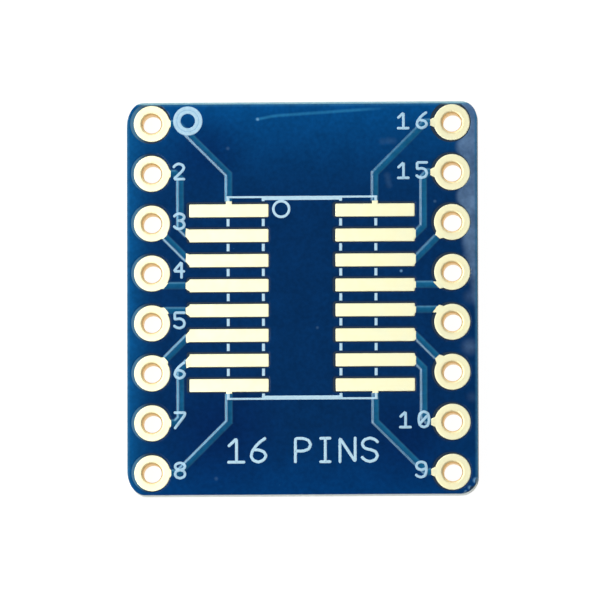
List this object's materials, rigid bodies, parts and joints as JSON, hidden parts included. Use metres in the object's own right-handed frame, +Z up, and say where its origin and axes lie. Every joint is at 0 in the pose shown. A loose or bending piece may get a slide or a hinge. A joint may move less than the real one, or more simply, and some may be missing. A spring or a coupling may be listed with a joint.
{
  "type": "surface-mount to through-hole adapter board",
  "caption": "Flat rounded rectangular circuit board with gold pads for a surface-mount chip, traced out to a row of plated pin holes along each long edge.",
  "frame": {"origin": "under the middle of the board, level with the copper rings on the underside", "axes": "+Z up out of the chip side, +Y along the pin rows towards the pin 1 end, +X from pin 1's row to the other row"},
  "size_m": [0.0178, 0.02, 0.0016],
  "materials": {
    "laminate": "sawn glass-epoxy laminate",
    "solder_mask": "glossy blue solder mask",
    "gold": "satin immersion gold",
    "legend_ink": "white screen-printed ink"
  },
  "bodies": {
    "root": {"laminate": "laminate", "solder_mask_top": "solder_mask", "solder_mask_bottom": "solder_mask", "conductor_1": "gold", "conductor_2": "gold", "conductor_3": "gold", "conductor_4": "gold", "conductor_5": "gold", "conductor_6": "gold", "conductor_7": "gold", "conductor_8": "gold", "conductor_9": "gold", "conductor_10": "gold", "conductor_11": "gold", "conductor_12": "gold", "conductor_13": "gold", "conductor_14": "gold", "conductor_15": "gold", "conductor_16": "gold", "chip_outlines": "legend_ink", "pin_one_ring": "legend_ink", "pin_one_circle": "legend_ink"}
  },
  "joints": []
}
